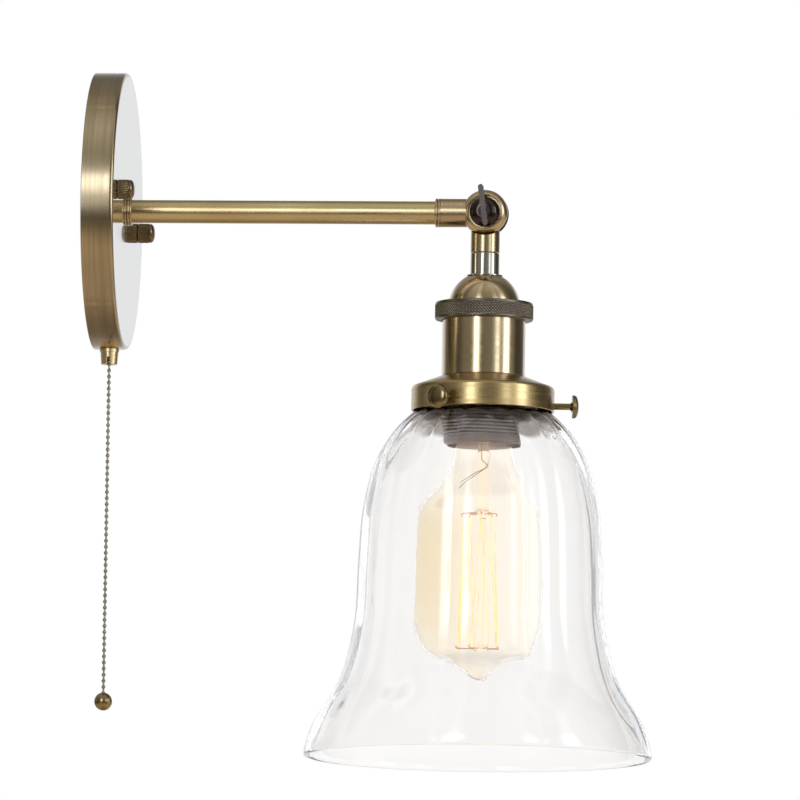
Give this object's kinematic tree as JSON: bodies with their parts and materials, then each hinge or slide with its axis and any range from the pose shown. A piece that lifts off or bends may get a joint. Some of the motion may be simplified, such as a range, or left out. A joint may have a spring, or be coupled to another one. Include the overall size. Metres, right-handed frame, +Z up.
{
  "type": "wall sconce",
  "caption": "Wall light: round canopy, straight arm and clamped knuckle that carry a tilting lamp holder with a clear fluted bell shade, switched by a bead chain.",
  "frame": {"origin": "centre of the canopy's back, on the wall", "axes": "+X out of the wall along the arm, +Z up, +Y to the left of someone who faces the wall"},
  "size_m": [0.2446, 0.1502, 0.2963],
  "materials": {
    "antique_brass": "brushed antique brass, lacquered",
    "arm_brass": "drawn antique brass, lacquered",
    "knuckle_brass": "turned antique brass",
    "holder_brass": "polished antique brass",
    "screw_brass": "turned antique brass",
    "dark_bronze": "knurled, chemically darkened",
    "bright_brass": "bright brass",
    "skirt_grey": "dark coated thread",
    "plated_steel": "zinc plated",
    "earth_brass": "plain brass",
    "chain_steel": "aged steel beads",
    "switch_plastic": "moulded phenolic",
    "terminal_plastic": "moulded polyamide",
    "fibre": "vulcanised fibre",
    "porcelain": "glazed porcelain",
    "wire_brown": "silicone sheath",
    "wire_black": "silicone sheath",
    "wire_blue": "silicone sheath",
    "wire_green": "silicone sheath",
    "shade_glass": "clear pressed glass",
    "bulb_glass": "clear amber tinted glass",
    "mount_glass": "clear glass rod",
    "bulb_nickel": "rolled brass cap",
    "bulb_vitrite": "black glass",
    "support_wire": "nickel wire",
    "filament": "glowing carbon filament"
  },
  "bodies": {
    "fixture": {"wall_bracket": "plated_steel", "canopy_studs": "plated_steel", "stud_nuts": "plated_steel", "canopy": "antique_brass", "earth_screw": "earth_brass", "terminal_block": "terminal_plastic", "terminal_block_screws": "plated_steel", "live_wire": "wire_brown", "neutral_wire": "wire_blue", "switched_wire": "wire_black", "earth_wire": "wire_green", "switch_body": "switch_plastic", "switch_lock_nut": "bright_brass", "chain_bushing": "bright_brass", "arm_tube": "arm_brass", "arm_base_ring": "arm_brass", "arm_washer": "plated_steel", "arm_lock_nut": "plated_steel", "arm_end_ring": "arm_brass", "knuckle_fork": "knuckle_brass", "friction_washers": "fibre"},
    "cap_nut_near": {"cap_nut_near": "dark_bronze"},
    "cap_nut_far": {"cap_nut_far": "dark_bronze"},
    "wing_screw": {"wing_screw": "dark_bronze"},
    "pull": {"pull_chain": "chain_steel", "pull_ball": "screw_brass"},
    "head": {"knuckle_tongue": "knuckle_brass", "stem_collar": "knuckle_brass", "stem_washer": "dark_bronze", "stem_nipple": "plated_steel", "holder_cap": "holder_brass", "cap_lock_nut": "plated_steel", "knurled_ring": "dark_bronze", "holder_body": "holder_brass", "threaded_skirt": "skirt_grey", "socket_insert": "porcelain", "screw_shell": "bright_brass", "centre_contact": "bright_brass", "socket_screws": "plated_steel", "head_neutral_wire": "wire_blue", "head_switched_wire": "wire_black", "gallery": "holder_brass", "shade_ring": "skirt_grey", "glass_shade": "shade_glass"},
    "shade_screw_1": {"shade_screw_1": "screw_brass"},
    "shade_screw_2": {"shade_screw_2": "screw_brass"},
    "shade_screw_3": {"shade_screw_3": "screw_brass"},
    "bulb": {"bulb_base": "bulb_nickel", "bulb_insulator": "bulb_vitrite", "bulb_contact": "bulb_nickel", "bulb_glass": "bulb_glass", "bulb_stem": "mount_glass", "bulb_supports": "support_wire", "bulb_filament": "filament"}
  },
  "joints": [
    {"name": "near_nut_turn", "type": "hinge", "parent": "fixture", "child": "cap_nut_near", "pos_m": [0.014, -0.04175, 0.00454], "axis": [1, 0, 0], "continuous": true},
    {"name": "far_nut_turn", "type": "hinge", "parent": "fixture", "child": "cap_nut_far", "pos_m": [0.014, 0.04175, -0.00454], "axis": [1, 0, 0], "continuous": true},
    {"name": "wing_screw_turn", "type": "hinge", "parent": "fixture", "child": "wing_screw", "pos_m": [0.1695, 0, 0], "axis": [0, 1, 0], "continuous": true},
    {"name": "chain_pull", "type": "slide", "parent": "fixture", "child": "pull", "axis": [0, 0, -1], "range_m": [0, 0.006], "stiffness_N_per_m": 1500},
    {"name": "shade_tilt", "type": "hinge", "parent": "fixture", "child": "head", "pos_m": [0.1695, 0, 0], "axis": [0, -1, 0], "range_deg": [-8, 180]},
    {"name": "bulb_turn", "type": "hinge", "parent": "head", "child": "bulb", "pos_m": [0.1695, 0, -0.1], "axis": [0, 0, -1], "continuous": true},
    {"name": "shade_screw_1_slide", "type": "slide", "parent": "head", "child": "shade_screw_1", "axis": [0.9925, 0.1219, 0], "range_m": [0, 0.002]},
    {"name": "shade_screw_2_slide", "type": "slide", "parent": "head", "child": "shade_screw_2", "axis": [-0.6018, 0.7986, 0], "range_m": [0, 0.002]},
    {"name": "shade_screw_3_slide", "type": "slide", "parent": "head", "child": "shade_screw_3", "axis": [-0.3907, -0.9205, 0], "range_m": [0, 0.002]}
  ]
}
